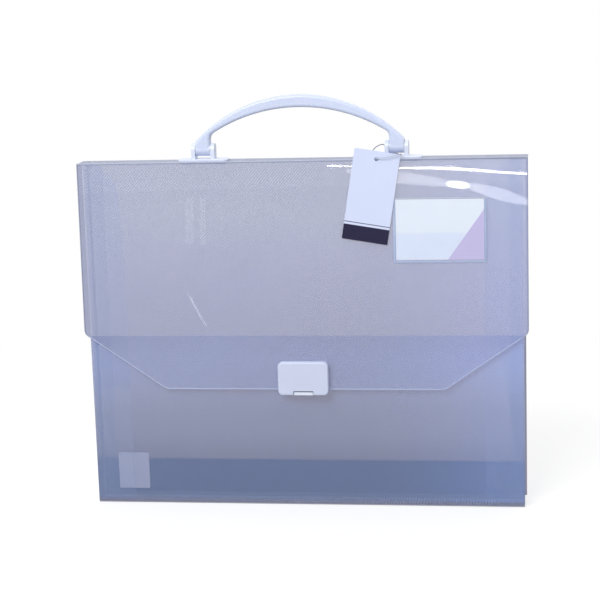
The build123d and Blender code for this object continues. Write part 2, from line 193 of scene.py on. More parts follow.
class SheetSettings(bpy.types.PropertyGroup):
    thickness: length("Sheet thickness", "Thickness of the folded sheet", 0.001)
    # The sheets are all one plastic. Their different colours are lit and shaded copies of it, painted light
    # and shade: the flap painted lit, the front and back panels painted darker for the shade of the sheets in
    # front of them, and the gusset flanges painted lighter to make up for their shade
    flap_colour: colour("Flap colour", "Colour of the lid and its flap", (0.39, 0.455, 0.705))
    front_colour: colour("Front colour", "Colour of the front panel", (0.235, 0.31, 0.56))
    back_colour: colour("Back colour", "Colour of the back panel", (0.20, 0.25, 0.42))
    top_colour: colour("Top colour", "Colour of the lid's top panel", (0.275, 0.315, 0.48))
    base_colour: colour("Base colour", "Colour of the base", (0.335, 0.365, 0.565))
    gusset_colour: colour("Gusset colour", "Colour of the side gussets' flanges", (0.62, 0.76, 0.95))
    gusset_wall_colour: colour("Gusset wall colour", "Colour of the side gussets' walls", (0.60, 0.66, 0.80))
    # Painted glow: the flanges give off a bluish light of their own in place of the light they scatter
    flange_painted_glow: colour("Flange glow", "Light that a gusset's flange scatters", (0.07, 0.085, 0.165))
    edge_colour: colour("Edge colour", "Colour of the flap's lower cut edge", (0.74, 0.80, 0.98))
    side_edge_colour: colour("Side edge colour", "Colour of the flap's upright cut edges", (0.30, 0.33, 0.44))
    front_edge_colour: colour(
        "Front edge colour", "Colour of the front panel's upper edge", (0.75, 0.78, 0.95)
    )
    rim_colour: colour("Rim colour", "Colour of the base's cut edge", (0.72, 0.70, 0.88))
    fold_colour: colour("Fold colour", "Colour of the lid's two folds", (0.58, 0.63, 0.80))
    face_opacity: share("Face opacity", "Share of light that one face of a sheet stops", 0.285)
    gusset_opacity: share("Gusset opacity", "Share of light that one face of a gusset's flange stops", 0.12)
    wall_opacity: share("Wall opacity", "Share of light that one face of a gusset's wall stops", 0.12)
    base_opacity: share("Base opacity", "Share of light that one face of the base stops", 0.15)
    lid_width: length("Lid width", "Width of the lid and its flap", 0.450)
    flap_length: length("Flap length", "From the front fold to the flap's lower edge", 0.231)
    flap_side_length: length("Flap side length", "Length of the flap's upright sides", 0.174)
    flap_bottom_width: length("Flap bottom width", "Width of the flap's lower edge", 0.284)
    flap_corner: length("Flap corner", "Reach of the flap's rounded corners along their sides", 0.0043)
    flap_lean: angle("Flap lean", "Angle at which the flap leans out", 1.15)
    base_wall_height: length("Base wall height", "Height of the base's turned-up walls", 0.005)
    front_height: length("Front height", "Height of the front panel's upper edge", 0.1775)
    line_pitch: length("Line pitch", "Distance between the slanted embossed lines", 0.00225)
    line_depth: length("Line depth", "Depth of the slanted embossed lines", 0.00004)
    line_slant: angle("Line slant", "Angle of the embossed lines", 49)
    front_fold: length("Front fold", "Radius of the fold between the top and the flap", 0.00095)
    coat_ior: amount("Coat index", "Refractive index of the flap's gloss", 2.2, 1.0)
    back_fold: length("Back fold", "Radius of the fold between the back and the top", 0.0006)


class MouldedSettings(bpy.types.PropertyGroup):
    handle_colour: colour("Handle colour", "Colour of the carrying handle", (0.63, 0.695, 0.885))
    bracket_colour: colour("Bracket colour", "Colour of the handle brackets", (0.715, 0.77, 0.92))
    latch_colour: colour("Latch colour", "Colour of the latch", (0.62, 0.67, 0.86))
    tongue_colour: colour("Tongue colour", "Colour of the latch's tongue", (0.80, 0.86, 1.0))
    backing_colour: colour("Backing colour", "Colour of the inner plates", (0.50, 0.55, 0.70))


class PaperSettings(bpy.types.PropertyGroup):
    card_colour: colour("Card colour", "Colour of the name card", (0.81, 0.87, 1.0))
    card_corner_colour: colour(
        "Card corner colour", "Colour of the name card's slanted corner", (0.57, 0.53, 0.82)
    )
    tag_colour: colour("Tag colour", "Colour of the swing tag", (0.665, 0.73, 0.95))
    tag_band_colour: colour("Tag band colour", "Colour of the swing tag's lower band", (0.011, 0.009, 0.045))
    label_colour: colour("Label colour", "Colour of the blank label", (0.90, 0.88, 0.98))
    string_colour: colour("String colour", "Colour of the string's front strand", (0.56, 0.60, 0.72))
    string_shaded_colour: colour(
        "String back colour", "Colour of the string behind the tag", (0.22, 0.22, 0.30)
    )
    film_colour: colour("Film colour", "Colour of the pocket's clear film", (0.72, 0.80, 0.98))
    weld_colour: colour("Weld colour", "Colour of the pocket's welded rim", (0.54, 0.66, 0.95))
    lip_colour: colour("Lip colour", "Colour of the pocket's mouth", (0.84, 0.92, 1.0))
    pocket_centre: flap_place(
        "Pocket centre", "Middle of the card pocket, across and up the flap", (0.1389, -0.07035)
    )
    pocket_width: length("Pocket width", "Width of the card pocket", 0.0916)
    pocket_height: length("Pocket height", "Height of the card pocket", 0.0645)
    pocket_depth: length("Pocket depth", "How far the pocket's film stands off the flap", 0.00079)
    weld_width: length("Weld width", "Width of the pocket's welded rim", 0.0022)
    card_width: length("Card width", "Width of the name card", 0.0868)
    card_height: length("Card height", "Height of the name card", 0.060)
    card_stripe: length("Card stripe", "Height of the fine stripes on the card's corner", 0.0013)
    card_gap: length("Card gap", "From the pocket's weld to the card's lower edge", 0.0008)
    tag_hole: flap_place("Tag hole", "Middle of the tag's hole, across and up the flap", (0.078, 0.0007))
    tag_tilt: angle("Tag tilt", "Angle at which the tag hangs", 9.4)
    tag_hole_drop: length("Tag hole drop", "From the tag's upper edge to its hole", 0.0078)
    tag_line_drop: length("Tag line drop", "From the tag's upper edge to its thin line", 0.0724)
    tag_line_width: length("Tag line width", "Width of the tag's thin line", 0.0007)
    tag_band_drop: length("Tag band drop", "From the tag's upper edge to its dark band", 0.0754)


class StudioSettings(bpy.types.PropertyGroup):
    fill: amount("Fill light", "Strength of the light from all round", 0.72)
    key_power: amount("Key power", "Power of the soft key lamp in watts", 60.0)
    back_power: amount("Back power", "Power of the soft rear lamp in watts", 15.0)
    glow: amount("Reflected lamps", "Strength of the small lamps that only show as reflections", 1.0)
    table_edge: length(
        "Table edge", "How far from the case the dark table's edge lies, as seen through the sheets", 0.15
    )
    lens: amount("Lens", "Focal length of the camera in millimetres", 102.5, 20.0)


# Node and mesh helpers


def new_material(name):
    """A new material, its node tree and its Principled shader."""
    material = bpy.data.materials.new(name)
    material.use_nodes = True
    tree = material.node_tree
    return material, tree, tree.nodes["Principled BSDF"]


def add_node(tree, kind, inputs=None, **settings):
    """Adds a node, sets its properties, and links or sets its inputs by name or number."""
    node = tree.nodes.new(kind)
    for key, value in settings.items():
        setattr(node, key, value)
    for key, value in (inputs or {}).items():
        if isinstance(value, bpy.types.NodeSocket):
            tree.links.new(value, node.inputs[key])
        else:
            node.inputs[key].default_value = value
    return node


def maths(tree, operation, *values):
    """A Math node's result."""
    node = add_node(tree, "ShaderNodeMath", dict(enumerate(values)), operation=operation)
    return node.outputs[0]


def mix_colours(tree, factor, first, second, blend="MIX"):
    """A colour mix. Each colour is a socket or three numbers."""
    node = add_node(tree, "ShaderNodeMix", data_type="RGBA", blend_type=blend)
    for key, value in ((0, factor), (6, first), (7, second)):
        if isinstance(value, bpy.types.NodeSocket):
            tree.links.new(value, node.inputs[key])
        elif key == 0:
            node.inputs[key].default_value = value
        else:
            node.inputs[key].default_value = (*value, 1.0)
    return node.outputs[2]


def object_place(tree):
    """Where a point lies on its piece, which at rest is its place in the model's frame."""
    return add_node(tree, "ShaderNodeTexCoord").outputs["Object"]


def object_axes(tree):
    """The point's place as three numbers, X, Y and Z."""
    return add_node(tree, "ShaderNodeSeparateXYZ", {"Vector": object_place(tree)}).outputs


def paint_over(material, factor, shade, blend="MIX"):
    """Mixes one more colour into a material's own."""
    tree = material.node_tree
    target = tree.nodes["Principled BSDF"].inputs["Base Color"]
    base = target.links[0].from_socket
    tree.links.new(mix_colours(tree, factor, base, shade, blend), target)


def smooth_share(tree, value, start, end):
    """Rises smoothly from 0 at start to 1 at end."""
    low, high = min(start, end), max(start, end)
    rise = add_node(
        tree,
        "ShaderNodeMapRange",
        {"Value": value, "From Min": low, "From Max": high},
        interpolation_type="SMOOTHSTEP",
    ).outputs["Result"]
    return rise if end > start else maths(tree, "SUBTRACT", 1.0, rise)


def new_group(name, inputs, outputs):
    """An empty shader node group with named number or vector sockets."""
    group = bpy.data.node_groups.new(name, "ShaderNodeTree")
    for label, kind, value in inputs:
        socket = group.interface.new_socket(label, in_out="INPUT", socket_type=kind)
        if value is not None:
            socket.default_value = value
    for label, kind in outputs:
        group.interface.new_socket(label, in_out="OUTPUT", socket_type=kind)
    return group, group.nodes.new("NodeGroupInput"), group.nodes.new("NodeGroupOutput")


def use_group(tree, name, inputs):
    """Places a node group in a material."""
    node = add_node(tree, "ShaderNodeGroup", node_tree=bpy.data.node_groups[name])
    for key, value in inputs.items():
        if isinstance(value, bpy.types.NodeSocket):
            tree.links.new(value, node.inputs[key])
        else:
            node.inputs[key].default_value = value
    return node


def piece_from(bm, name, materials, body=None):
    """Turns a bmesh into a piece that rides on a body."""
    mesh = bpy.data.meshes.new(name)
    bm.to_mesh(mesh)
    bm.free()
    piece = bpy.data.objects.new(name, mesh)
    bpy.context.collection.objects.link(piece)
    for material in materials:
        mesh.materials.append(material)
    if body:
        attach(piece, body)
    return piece


def flap_frame(sheet, stand_off=0.0):
    """Across the flap, up the flap, and out of its face, from the middle of the front fold."""
    lean = sheet.flap_lean
    turn = Matrix(
        (
            (1.0, 0.0, 0.0),
            (0.0, math.sin(lean), -math.cos(lean)),
            (0.0, math.cos(lean), math.sin(lean)),
        )
    )
    outwards = turn @ Vector((0.0, 0.0, stand_off))
    return Matrix.Translation(Vector((0.0, FRONT_FACE, BODY_HEIGHT)) + outwards) @ turn.to_4x4()


def rounded_line(corners, reach, inset):
    """An open line through corners, rounded at all but its two ends, inside the shape they bound."""
    bm = bmesh.new()
    verts = [bm.verts.new((x, y, 0.0)) for x, y in corners]
    bm.faces.new(verts)
    bmesh.ops.bevel(
        bm,
        geom=verts[1:-1],
        offset=reach,
        offset_type="OFFSET",
        affect="VERTICES",
        segments=6,
        profile=0.5,
        material=-1,
    )
    bm.faces.ensure_lookup_table()
    face = max(bm.faces, key=lambda f: f.calc_area())
    bmesh.ops.inset_region(bm, faces=[face], thickness=inset, use_even_offset=True, use_boundary=True)
    line = [v.co.copy() for v in face.verts]
    bm.free()
    start = min(range(len(line)), key=lambda i: (line[i] - Vector((*corners[0], 0.0))).length)
    line = line[start:] + line[:start]
    # The line starts down its left side, not straight across to its far end
    if (line[1] - line[0]).length > (line[-1] - line[0]).length * 1.0001 and line[1].x > 0 > line[0].x:
        line = [line[0]] + line[:0:-1]
    return line


def dress(node, material):
    """Gives a CAD node its material."""
    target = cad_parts[node]
    target.data.materials.clear()
    target.data.materials.append(material)


# Shared surface effects


def build_emboss_group():
    """Fine slanted lines pressed into the sheet. The plane's two axes come in as Across and Up."""
    group, source, sink = new_group(
        "Slanted emboss",
        [
            ("Across", "NodeSocketFloat", 0.0),
            ("Up", "NodeSocketFloat", 0.0),
            ("Pitch", "NodeSocketFloat", 0.00225),
            ("Slant", "NodeSocketFloat", 0.855),
        ],
        [("Height", "NodeSocketFloat")],
    )
    along = maths(group, "MULTIPLY", source.outputs["Across"], maths(group, "SINE", source.outputs["Slant"]))
    rise = maths(group, "MULTIPLY", source.outputs["Up"], maths(group, "COSINE", source.outputs["Slant"]))
    turns = maths(group, "DIVIDE", maths(group, "SUBTRACT", along, rise), source.outputs["Pitch"])
    wave = maths(group, "SINE", maths(group, "MULTIPLY", turns, math.tau))
    height = maths(group, "MULTIPLY_ADD", wave, 0.5, 0.5)
    group.links.new(height, sink.inputs["Height"])


def build_mottle_group():
    """Cloudy variation at two scales, from 0 to 1."""
    group, source, sink = new_group(
        "Cloudy mottle",
        [
            ("Vector", "NodeSocketVector", None),
            ("Coarse", "NodeSocketFloat", 12.0),
            ("Fine", "NodeSocketFloat", 240.0),
        ],
        [("Cloud", "NodeSocketFloat"), ("Grain", "NodeSocketFloat")],
    )
    place, coarse, fine = (source.outputs[name] for name in ("Vector", "Coarse", "Fine"))
    cloud = add_node(
        group, "ShaderNodeTexNoise", {"Vector": place, "Scale": coarse, "Detail": 3.0, "Roughness": 0.55}
    )
    grain = add_node(
        group, "ShaderNodeTexNoise", {"Vector": place, "Scale": fine, "Detail": 2.0, "Roughness": 0.6}
    )
    group.links.new(cloud.outputs["Fac"], sink.inputs["Cloud"])
    group.links.new(grain.outputs["Fac"], sink.inputs["Grain"])


def sheet_material(
    name,
    base,
    settings,
    up_axis="Z",
    opacity=None,
    roughness=0.28,
    coat=0.0,
    line_depth=None,
    painted_light=None,
    right_painted_light=None,
):
    """Frosted translucent sheet: slanted emboss, cloudy haze and a faint grain.

    painted_light is two heights over the flap's lower edge and the factor by which the colour grows from the
    first to the second, as painted light, and right_painted_light is the factor by which it grows towards the
    right side, as painted light from that side.
    """
    material, tree, shader = new_material(name)
    place = object_place(tree)
    axes = object_axes(tree)
    emboss = use_group(
        tree,
        "Slanted emboss",
        {
            "Across": axes["X"],
            "Up": axes[up_axis],
            "Pitch": settings.line_pitch,
            "Slant": settings.line_slant,
        },
    )
    mottle = use_group(tree, "Cloudy mottle", {"Vector": place, "Coarse": 9.0, "Fine": 420.0})
    base = Vector(base)
    tint = mix_colours(tree, mottle.outputs["Cloud"], base * 0.92, base * 1.08)
    grained = mix_colours(tree, maths(tree, "MULTIPLY", mottle.outputs["Grain"], 0.35), tint, base * 0.8)
    if coat:
        crest_colour = mix_colours(tree, emboss.outputs["Height"], (0.97, 0.97, 0.97), (1.03, 1.03, 1.03))
        grained = mix_colours(tree, 1.0, grained, crest_colour, "MULTIPLY")
    # Painted light: the colour grows between two heights, lifting the shade where the flap overlaps the front
    # panel
    if painted_light:
        low = BODY_HEIGHT - settings.flap_length
        start, end, factor = painted_light
        painted_light_share = smooth_share(tree, axes["Z"], low + start, low + end)
        grained = mix_colours(tree, painted_light_share, grained, (factor, factor, factor), "MULTIPLY")
    # Painted light: the colour grows towards the right side, where more bluish light falls
    if right_painted_light:
        right_painted_light_share = smooth_share(tree, axes["X"], RIGHT_PAINTED_LIGHT_START, RIGHT_PAINTED_LIGHT_END)
        grained = mix_colours(tree, right_painted_light_share, grained, right_painted_light, "MULTIPLY")
    tree.links.new(grained, shader.inputs["Base Color"])
    rough = maths(tree, "MULTIPLY_ADD", mottle.outputs["Cloud"], CLOUD_SHIFT, roughness - CLOUD_SHIFT / 2)
    tree.links.new(rough, shader.inputs["Roughness"])
    face_opacity = settings.face_opacity if opacity is None else opacity
    haze = maths(tree, "MULTIPLY_ADD", mottle.outputs["Cloud"], CLOUD_SHIFT, face_opacity - CLOUD_SHIFT / 2)
    depth = settings.line_depth if line_depth is None else line_depth
    if depth:
        lowered = maths(tree, "SUBTRACT", haze, LINE_HAZE / 2)
        haze = maths(tree, "MULTIPLY_ADD", emboss.outputs["Height"], LINE_HAZE, lowered)
    # A gusset's wall adds to this node's last input
    haze = maths(tree, "MULTIPLY_ADD", haze, 1.0, 0.0)
    haze.node.name = "face_haze"
    facing = add_node(tree, "ShaderNodeLayerWeight", {"Blend": 0.5}).outputs["Facing"]
    square_on = maths(tree, "MAXIMUM", maths(tree, "SUBTRACT", 1.0, facing), GRAZING_SHARE)
    clear = maths(tree, "POWER", maths(tree, "SUBTRACT", 1.0, haze), maths(tree, "DIVIDE", 1.0, square_on))
    tree.links.new(maths(tree, "SUBTRACT", 1.0, clear), shader.inputs["Alpha"])
    if coat and depth:
        crest = add_node(
            tree,
            "ShaderNodeMapRange",
            {
                "Value": emboss.outputs["Height"],
                "From Min": CREST_START,
                "From Max": CREST_END,
                "To Min": coat * GROOVE_GLOSS,
                "To Max": coat,
            },
        ).outputs["Result"]
        tree.links.new(crest, shader.inputs["Coat Weight"])
    else:
        shader.inputs["Coat Weight"].default_value = coat
    shader.inputs["Coat Roughness"].default_value = GLOSS_ROUGHNESS
    shader.inputs["Coat IOR"].default_value = settings.coat_ior if coat else 1.5
    bump = add_node(
        tree, "ShaderNodeBump", {"Height": emboss.outputs["Height"], "Strength": 1.0, "Distance": depth}
    )
    tree.links.new(bump.outputs["Normal"], shader.inputs["Normal"])
    return material


def moulded_material(name, base, roughness=0.35, coat=0.15):
    """Milky moulded plastic: faint flow clouds, fine grain and a soft coat."""
    material, tree, shader = new_material(name)
    mottle = use_group(
        tree, "Cloudy mottle", {"Vector": object_place(tree), "Coarse": 30.0, "Fine": 1400.0}
    )
    base = Vector(base)
    tint = mix_colours(tree, mottle.outputs["Cloud"], base * 0.95, base * 1.03)
    tree.links.new(tint, shader.inputs["Base Color"])
    rough = maths(tree, "MULTIPLY_ADD", mottle.outputs["Grain"], 0.14, roughness - 0.07)
    tree.links.new(rough, shader.inputs["Roughness"])
    shader.inputs["Coat Weight"].default_value = coat
    shader.inputs["Coat Roughness"].default_value = 0.2
    shader.inputs["Subsurface Weight"].default_value = 0.15
    shader.inputs["Subsurface Radius"].default_value = (0.003, 0.003, 0.004)
    shader.inputs["Subsurface Scale"].default_value = 1.0
    bump = add_node(
        tree, "ShaderNodeBump", {"Height": mottle.outputs["Grain"], "Strength": 0.5, "Distance": 0.00002}
    )
    tree.links.new(bump.outputs["Normal"], shader.inputs["Normal"])
    return material


def paper_material(name, base, roughness=0.55):
    """Smooth pale card with short fibres."""
    material, tree, shader = new_material(name)
    mottle = use_group(
        tree, "Cloudy mottle", {"Vector": object_place(tree), "Coarse": 40.0, "Fine": 2200.0}
    )
    base = Vector(base)
    tint = mix_colours(tree, mottle.outputs["Cloud"], base * 0.97, base * 1.02)
    fibred = mix_colours(tree, maths(tree, "MULTIPLY", mottle.outputs["Grain"], 0.2), tint, base * 0.86)
    tree.links.new(fibred, shader.inputs["Base Color"])
    shader.inputs["Roughness"].default_value = roughness
    bump = add_node(
        tree, "ShaderNodeBump", {"Height": mottle.outputs["Grain"], "Strength": 0.4, "Distance": 0.00001}
    )
    tree.links.new(bump.outputs["Normal"], shader.inputs["Normal"])
    return material


# Tag string: from the tag's hole, under the right knuckle, round the bracket's inner cheek and back. It is
# the solid's route, moved by up to 6 mm to follow the photograph and to clear the folded handle.

STRING_ROUTE = [
    (0.0783, -0.01675, 0.3552),
    (0.0793, -0.0190, 0.3554),
    (0.0885, -0.0200, 0.3568),
    (0.0985, -0.0196, 0.3588),
    (0.1026, -0.0172, 0.3596),
    (0.1020, -0.0120, 0.3582),
    (0.0995, -0.0040, 0.35735),
    (0.0975, 0.0045, 0.35735),
    (0.0950, 0.0096, 0.3575),
    (0.0895, 0.0106, 0.3576),
    (0.0857, 0.0101, 0.3606),
    (0.0842, 0.0083, 0.3668),
    (0.0792, -0.0010, 0.3670),
    (0.0742, -0.0106, 0.3636),
    (0.0741, -0.0138, 0.3592),
    (0.0758, -0.0148, 0.3562),
    (0.0777, -0.01645, 0.3552),
]
STRING_DIAMETER = 0.001

# Its twist in radians a metre, the depth of its two plies as a share of its radius, and the places in depth
# between which its colour turns from the front strand's to the back one's, which is painted shade behind the
# tag
STRING_TWIST = 2600.0
STRING_PLY_DEPTH = 0.08
STRAND_FRONT = -0.017
STRAND_BACK = -0.012


def route_points(route):
    """Points read from the NURBS spline that has the route as its control points."""
    curve = bpy.data.curves.new("string_route", "CURVE")
    curve.dimensions = "3D"
    spline = curve.splines.new("NURBS")
    spline.points.add(len(route) - 1)
    for point, place in zip(spline.points, route):
        point.co = (*place, 1.0)
    spline.order_u = 3
    spline.use_endpoint_u = True
    spline.resolution_u = 16
    holder = bpy.data.objects.new("string_route", curve)
    bpy.context.collection.objects.link(holder)
    line = bpy.data.meshes.new_from_object(holder)
    points = [v.co.copy() for v in line.vertices]
    bpy.data.objects.remove(holder)
    bpy.data.meshes.remove(line)
    bpy.data.curves.remove(curve)
    return points


def tube_along(points, radius, sides=10, twist=0.0, lobes=0, lobe_depth=0.0):
    """A closed tube that follows points, with a lobed section that can twist as a thread does."""
    bm = bmesh.new()
    side = (points[1] - points[0]).normalized().orthogonal().normalized()
    travelled = 0.0
    rings = []
    for number, point in enumerate(points):
        before, after = points[max(number - 1, 0)], points[min(number + 1, len(points) - 1)]
        tangent = (after - before).normalized()
        side = (side - tangent * side.dot(tangent)).normalized()
        other = tangent.cross(side)
        travelled += (point - before).length
        ring = []
        for i in range(sides):
            angle = math.tau * i / sides
            reach = radius * (1 - lobe_depth + lobe_depth * math.cos(lobes * angle + twist * travelled))
            ring.append(bm.verts.new(point + (side * math.cos(angle) + other * math.sin(angle)) * reach))
        rings.append(ring)
    for ring, following in zip(rings, rings[1:]):
        for i in range(sides):
            bm.faces.new((ring[i], following[i], following[i - 1], ring[i - 1]))
    bm.faces.new(reversed(rings[0]))
    bm.faces.new(rings[-1])
    for face in bm.faces:
        face.smooth = True
    return bm


class CASE_OT_string(bpy.types.Operator):
    """Make the tag's string as a twisted thread from the tag's hole round the bracket and back"""

    bl_idname = "case.string"
    bl_label = "Tag String"

    def execute(self, context):
        paper = context.scene.case_paper
        material, tree, shader = new_material("string_thread")
        mottle = use_group(
            tree, "Cloudy mottle", {"Vector": object_place(tree), "Coarse": 300.0, "Fine": 5000.0}
        )
        # Painted shade: the strand behind the tag is painted darker
        behind = smooth_share(tree, object_axes(tree)["Y"], STRAND_FRONT, STRAND_BACK)
        strand = mix_colours(tree, behind, paper.string_colour, paper.string_shaded_colour)
        ply = mix_colours(tree, mottle.outputs["Grain"], (0.75, 0.75, 0.75), (1.2, 1.2, 1.2))
        tree.links.new(mix_colours(tree, 1.0, strand, ply, "MULTIPLY"), shader.inputs["Base Color"])
        shader.inputs["Roughness"].default_value = 0.6
        points = route_points(STRING_ROUTE)
        bm = tube_along(
            points, STRING_DIAMETER / 2, sides=12, twist=STRING_TWIST, lobes=2, lobe_depth=STRING_PLY_DEPTH
        )
        string = piece_from(bm, "tag_thread", [material])
        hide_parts("tag_string")
        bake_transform(string)
        return {"FINISHED"}


class CASE_OT_sheets(bpy.types.Operator):
    """Dress the folded sheets of the body and the lid"""

    bl_idname = "case.sheets"
    bl_label = "Sheets"

    def execute(self, context):
        sheet = context.scene.case_sheet
        # Painted light: the flap, front and back are painted lighter towards the right side, and the flap and
        # front where they overlap
        flap = sheet_material(
            "lid_sheet_frosted", sheet.flap_colour, sheet, coat=1.0, painted_light=FLAP_PAINTED_LIGHT, right_painted_light=RIGHT_PAINTED_LIGHT
        )
        top = sheet_material("lid_sheet_top", sheet.top_colour, sheet, up_axis="Y")
        front = sheet_material(
            "case_sheet_front", sheet.front_colour, sheet, painted_light=FRONT_PAINTED_LIGHT, right_painted_light=RIGHT_PAINTED_LIGHT_FRONT
        )
        self.lighten_edge(front, sheet)
        back = sheet_material("case_sheet_back", sheet.back_colour, sheet, right_painted_light=RIGHT_PAINTED_LIGHT)
        base = sheet_material("case_sheet_base", sheet.base_colour, sheet, opacity=sheet.base_opacity)
        gusset = sheet_material("case_sheet_gusset", sheet.gusset_colour, sheet, opacity=sheet.gusset_opacity)
        self.thicken_wall(gusset, sheet)
        dress("closing_flap", flap)
        dress("top_panel", top)
        dress("front_panel", front)
        dress("back_panel", back)
        dress("bottom_panel", base)
        dress("left_gusset", gusset)
        dress("right_gusset", gusset)
        return {"FINISHED"}

    def lighten_edge(self, front, sheet):
        """Painted light: the front panel's upper cut edge, shaded under the flap, is painted as light as the
        haze on each side of it.
        """
        tree = front.node_tree
        edge = maths(tree, "GREATER_THAN", object_axes(tree)["Z"], sheet.front_height - 0.00005)
        paint_over(front, edge, sheet.front_edge_colour)

    def thicken_wall(self, gusset, sheet):
        """The gusset's wall is as hazy as it looks end on, and its flanges are given a painted bluish glow
        that stands in for the light they scatter.
        """
        tree = gusset.node_tree
        shader = tree.nodes["Principled BSDF"]
        aside = maths(tree, "ABSOLUTE", object_axes(tree)["X"])
        wall = maths(tree, "GREATER_THAN", aside, GUSSET_WALL_SIDE)
        paint_over(gusset, wall, sheet.gusset_wall_colour)
        haze = tree.nodes["face_haze"]
        extra = maths(tree, "MULTIPLY", wall, sheet.wall_opacity - sheet.gusset_opacity)
        tree.links.new(extra, haze.inputs[2])
        # Painted glow on the flanges only, standing in for scattered light
        glow = mix_colours(tree, wall, sheet.flange_painted_glow, (0.0, 0.0, 0.0))
        tree.links.new(glow, shader.inputs["Emission Color"])
        shader.inputs["Emission Strength"].default_value = 1.0


class CASE_OT_edges(bpy.types.Operator):
    """Make the sheets' pale cut edges and the lid's two rounded folds"""

    bl_idname = "case.edges"
    bl_label = "Cut Edges and Folds"

    def execute(self, context):
        sheet = context.scene.case_sheet
        # The flap's rim is pale partly as its own cut edge and partly as a painted highlight of the light
        # that the edge catches
        edge = sheet_material(
            "sheet_edge_pale", sheet.edge_colour, sheet, opacity=0.8, roughness=0.3, line_depth=0.0
        )
        self.darken_upper(edge, sheet)
        half = sheet.thickness / 2
        wide = sheet.lid_width / 2
        low = sheet.flap_bottom_width / 2
        corners = [
            (-wide, -RIM_START),
            (-wide, -sheet.flap_side_length),
            (-low, -sheet.flap_length),
            (low, -sheet.flap_length),
            (wide, -sheet.flap_side_length),
            (wide, -RIM_START),
        ]
        lift = flap_frame(sheet, half)
        line = [lift @ p for p in rounded_line(corners, sheet.flap_corner, half)]
        rim = tube_along(line, half * FLAP_RIM_SWELL, sides=8)
        piece_from(rim, "flap_cut_edge", [edge], body="flap")
        # The base's rim is the base wall's cut top edge, painted pale as a highlight of the light it reflects
        rim_edge = sheet_material(
            "sheet_edge_dim", sheet.rim_colour, sheet, opacity=0.2, roughness=0.3, line_depth=0.0
        )
        y, z = half + BASE_RIM_FACE, sheet.base_wall_height - half
        base = [Vector((x, y, z)) for x in (-BASE_RIM_SIDE, 0.0, BASE_RIM_SIDE)]
        rim = tube_along(base, half * BASE_RIM_SWELL, sides=8)
        piece_from(rim, "base_cut_edge", [rim_edge], body="case_body")
        fold = sheet_material(
            "lid_sheet_fold", sheet.fold_colour, sheet, opacity=0.5, roughness=0.3, line_depth=0.0
        )
        for name, (y, z), radius in (
            ("front_fold", FRONT_FOLD_PLACE, sheet.front_fold),
            ("back_fold", BACK_FOLD_PLACE, sheet.back_fold),
        ):
            ends = [Vector((x, y, z)) for x in (FOLD_END_GAP - wide, 0.0, wide - FOLD_END_GAP)]
            piece_from(tube_along(ends, radius, sides=16), name, [fold], body="top_lid")
        return {"FINISHED"}

    def darken_upper(self, edge, sheet):
        """The flap's upright sides catch less light than its lower edge."""
        tree = edge.node_tree
        foot = BODY_HEIGHT - sheet.flap_side_length
        dims = {"From Min": foot + RIM_DIM_START, "From Max": foot + RIM_DIM_END}
        upper = add_node(tree, "ShaderNodeMapRange", {"Value": object_axes(tree)["Z"], **dims})
        paint_over(edge, upper.outputs["Result"], sheet.side_edge_colour)


class CASE_OT_moulded(bpy.types.Operator):
    """Dress the handle, its brackets and the latch"""

    bl_idname = "case.moulded"
    bl_label = "Moulded Parts"

    def execute(self, context):
        moulded = context.scene.case_moulded
        handle = moulded_material("handle_plastic_milky", moulded.handle_colour)
        bracket = moulded_material("bracket_plastic_milky", moulded.bracket_colour)
        latch = moulded_material("latch_plastic_milky", moulded.latch_colour, roughness=0.4)
        backing = moulded_material("backing_plastic_milky", moulded.backing_colour, roughness=0.5, coat=0.0)
        dress("handle", handle)
        for side in ("left", "right"):
            dress(f"{side}_handle_bracket", bracket)
            dress(f"{side}_bracket_backing_plate", backing)
        dress("latch_cover", latch)
        dress("catch_base", latch)
        dress("latch_tongue", moulded_material("tongue_plastic_milky", moulded.tongue_colour))
        for node in ("latch_back_plate", "catch_back_plate"):
            dress(node, backing)
        return {"FINISHED"}


